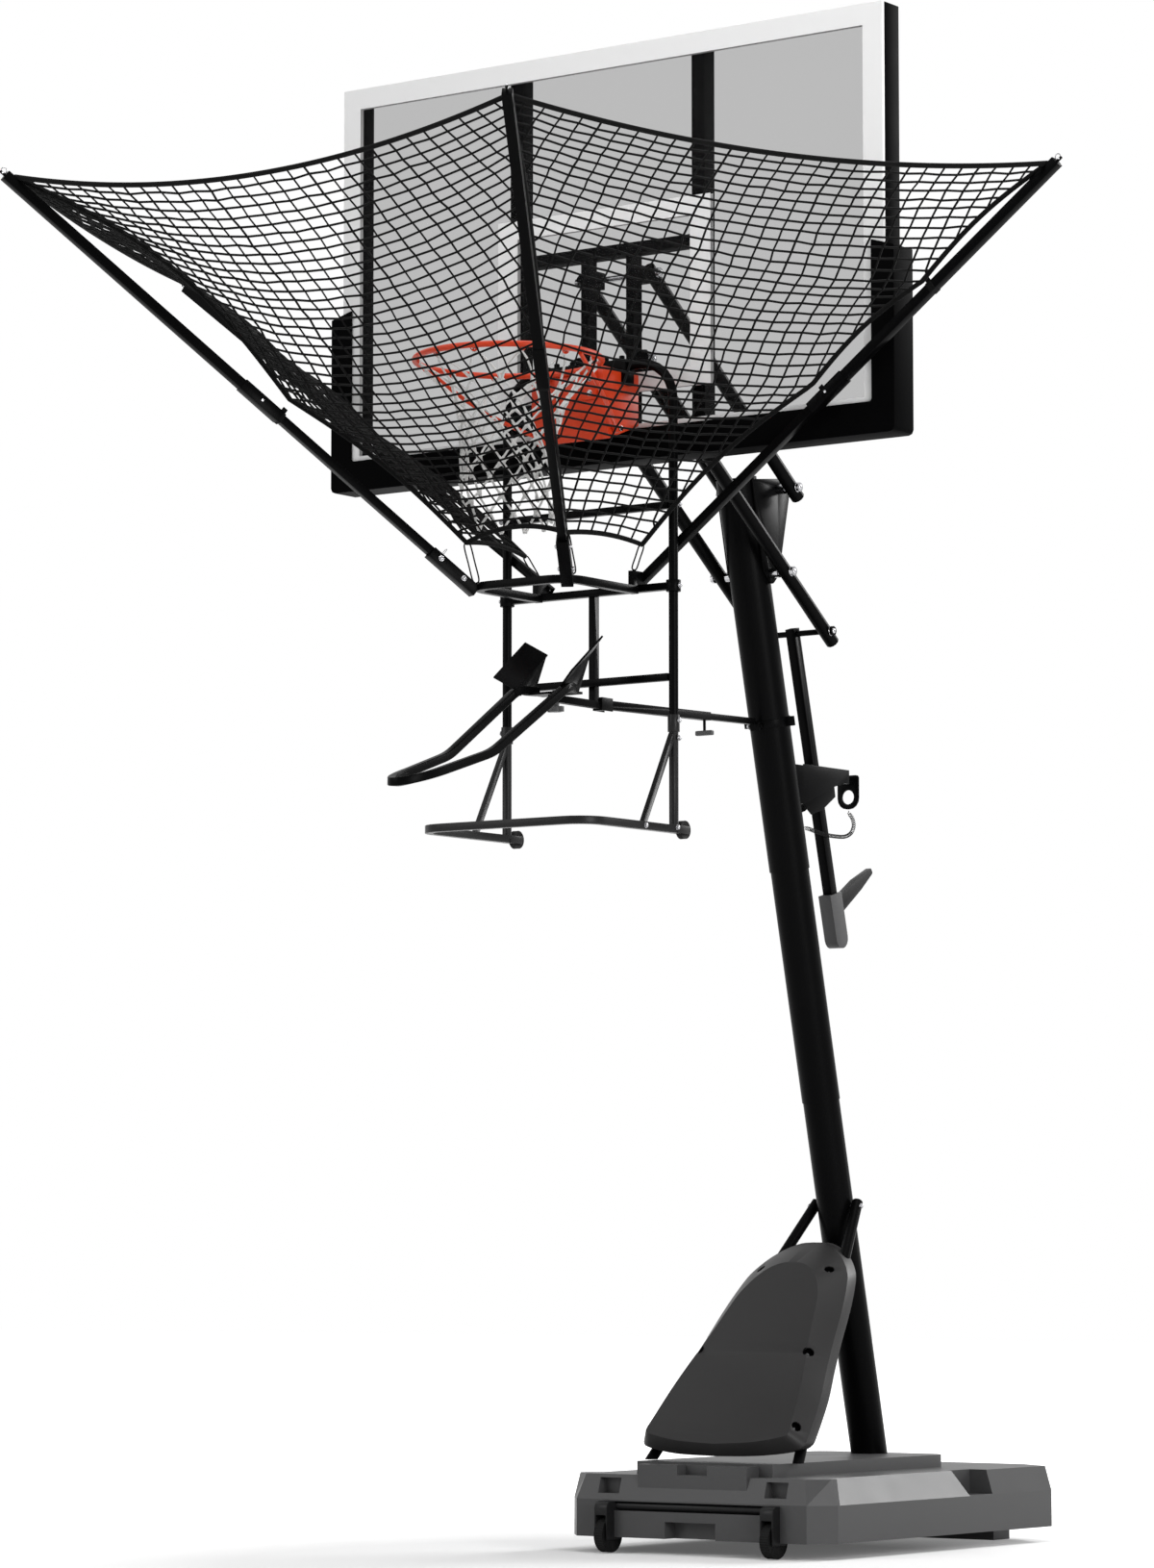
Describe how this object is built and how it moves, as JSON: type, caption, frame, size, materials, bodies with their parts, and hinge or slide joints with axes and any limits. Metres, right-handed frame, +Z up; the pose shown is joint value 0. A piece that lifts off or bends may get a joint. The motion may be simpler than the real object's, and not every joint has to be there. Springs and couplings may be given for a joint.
{
  "type": "basketball shooting machine",
  "caption": "Portable basketball goal on a filled base with a leaning pole and lifting arms, carrying a funnel return net, a tube frame and a swivelling ball return chute.",
  "frame": {"origin": "centre of the bounding box on the floor, between the front tips of the net poles and the rear of the base", "axes": "+Z up, +X to the right seen from the court, +Y away from the court, towards the base"},
  "size_m": [2.8084, 3.091, 3.927],
  "materials": {
    "black_steel": "satin black powder coat",
    "tank_plastic": "fine grained dark grey",
    "hood_plastic": "fine grained dark grey",
    "handle_plastic": "satin",
    "wheel_rubber": "matt",
    "pad_rubber": "satin moulded",
    "bolt_chrome": "bright",
    "board_clear": "polished, white printed border and aiming rectangle",
    "rim_orange": "gloss orange powder coat",
    "net_white": "braided cord",
    "net_black": "knotted cord",
    "cord_black": "satin"
  },
  "bodies": {
    "stand": {"base_tank": "tank_plastic", "wheel_carrier": "black_steel", "hood": "hood_plastic", "strut_left": "black_steel", "strut_right": "black_steel", "strut_bolt": "bolt_chrome", "pole_lower": "black_steel", "pole_middle": "black_steel", "pole_upper": "black_steel", "head_plate_left": "black_steel", "head_plate_right": "black_steel", "lower_rear_bolt": "bolt_chrome", "upper_rear_bolt": "bolt_chrome", "lift_guide": "black_steel", "lock_tether": "cord_black", "pole_clamp": "black_steel"},
    "base_wheel_left": {"base_wheel_left": "wheel_rubber"},
    "base_wheel_right": {"base_wheel_right": "wheel_rubber"},
    "lower_arms": {"lower_arm_left": "black_steel", "lower_arm_right": "black_steel", "lift_cross_bolt": "bolt_chrome"},
    "upper_arms": {"upper_arm_left": "black_steel", "upper_arm_right": "black_steel"},
    "lift": {"lift_rod": "black_steel", "lift_handle": "handle_plastic"},
    "trigger": {"lift_trigger": "handle_plastic"},
    "lock": {"lock_pin": "bolt_chrome", "lock_plate": "black_steel"},
    "board": {"board_glass": "board_clear", "board_frame": "black_steel", "edge_pad": "pad_rubber", "rim_housing": "rim_orange", "rim_hinge_pin": "bolt_chrome", "lower_front_bolt": "bolt_chrome", "upper_front_bolt": "bolt_chrome", "hook_upright_left": "black_steel", "hook_upright_right": "black_steel", "hook_clamp_left": "black_steel", "hook_clamp_right": "black_steel", "upper_crossbar": "black_steel", "net_crossbar": "black_steel", "mid_crossbar": "black_steel", "net_base_frame": "black_steel", "net_pole_front_left": "black_steel", "net_pole_front_right": "black_steel", "net_pole_rear_left": "black_steel", "net_pole_rear_right": "black_steel", "net_front_panel": "net_black", "net_left_panel": "net_black", "net_right_panel": "net_black", "lower_frame": "black_steel"},
    "rim": {"rim_ring": "rim_orange", "hoop_net": "net_white"},
    "chute": {"chute_fork": "black_steel"},
    "chute_knob": {"chute_knob": "handle_plastic"},
    "frame_wheel_left": {"frame_wheel_left": "wheel_rubber"},
    "frame_wheel_right": {"frame_wheel_right": "wheel_rubber"},
    "strap_outer": {"strap_outer_tube": "black_steel"},
    "strap_inner": {"strap_inner_tube": "black_steel"},
    "strap_screw": {"strap_screw": "black_steel"}
  },
  "joints": [
    {"name": "base_wheel_left_spin", "type": "hinge", "parent": "stand", "child": "base_wheel_left", "pos_m": [-0.262, 0.3125, 0.048], "axis": [1, 0, 0], "continuous": true},
    {"name": "base_wheel_right_spin", "type": "hinge", "parent": "stand", "child": "base_wheel_right", "pos_m": [0.262, 0.3125, 0.048], "axis": [1, 0, 0], "continuous": true},
    {"name": "arms_lift", "type": "hinge", "parent": "stand", "child": "lower_arms", "pos_m": [0, 0.6245, 2.613], "axis": [1, 0, 0], "range_deg": [0, 50]},
    {"name": "upper_arms_swing", "type": "hinge", "parent": "stand", "child": "upper_arms", "pos_m": [0, 0.6545, 2.845], "axis": [1, 0, 0], "range_deg": [0, 50]},
    {"name": "board_level", "type": "hinge", "parent": "lower_arms", "child": "board", "pos_m": [0, -0.0335, 3.096], "axis": [1, 0, 0], "range_deg": [-50, 0]},
    {"name": "lift_hang", "type": "hinge", "parent": "lower_arms", "child": "lift", "pos_m": [0, 0.81797, 2.47098], "axis": [1, 0, 0], "range_deg": [-60.1, 0]},
    {"name": "trigger_squeeze", "type": "hinge", "parent": "lift", "child": "trigger", "pos_m": [0, 1.03142, 1.73083], "axis": [1, 0, 0], "range_deg": [-12, 0], "stiffness_Nm_per_rad": 3, "springref_deg": 11.46},
    {"name": "lock_pull", "type": "slide", "parent": "stand", "child": "lock", "axis": [0, 1, 0], "range_m": [0, 0.02], "stiffness_N_per_m": 800, "springref_m": -0.01},
    {"name": "rim_breakaway", "type": "hinge", "parent": "board", "child": "rim", "pos_m": [0, -0.1875, 2.892], "axis": [1, 0, 0], "range_deg": [0, 18], "stiffness_Nm_per_rad": 300, "springref_deg": -17.19, "deforming": ["hoop_net"]},
    {"name": "chute_swivel", "type": "hinge", "parent": "board", "child": "chute", "pos_m": [0, -0.2825, 2.2], "axis": [0, 0, 1], "range_deg": [-90, 90]},
    {"name": "chute_knob_turn", "type": "hinge", "parent": "board", "child": "chute_knob", "pos_m": [0, -0.2825, 2.16], "axis": [0, 0, 1], "continuous": true},
    {"name": "frame_wheel_left_spin", "type": "hinge", "parent": "board", "child": "frame_wheel_left", "pos_m": [-0.264, -0.0945, 1.859], "axis": [1, 0, 0], "continuous": true},
    {"name": "frame_wheel_right_spin", "type": "hinge", "parent": "board", "child": "frame_wheel_right", "pos_m": [0.264, -0.0945, 1.859], "axis": [1, 0, 0], "continuous": true},
    {"name": "strap_tilt", "type": "hinge", "parent": "board", "child": "strap_outer", "pos_m": [0, -0.0655, 2.198], "axis": [1, 0, 0], "range_deg": [0, 38.2]},
    {"name": "strap_slide", "type": "slide", "parent": "strap_outer", "child": "strap_inner", "axis": [0, 0.9997, 0.0232], "range_m": [0, 0.38]},
    {"name": "strap_screw_turn", "type": "hinge", "parent": "strap_outer", "child": "strap_screw", "pos_m": [0, 0.38838, 2.2085], "axis": [0, -0.0232, 0.9997], "continuous": true}
  ],
  "couplings": [
    {"joint": "upper_arms_swing", "follows": "arms_lift", "ratio": 1},
    {"joint": "board_level", "follows": "arms_lift", "ratio": -1},
    {"joint": "lift_hang", "follows": "arms_lift", "ratio": -1.2},
    {"joint": "strap_tilt", "follows": "arms_lift", "ratio": 0.7634},
    {"joint": "strap_slide", "follows": "arms_lift", "m_per_rad": 0.435}
  ]
}
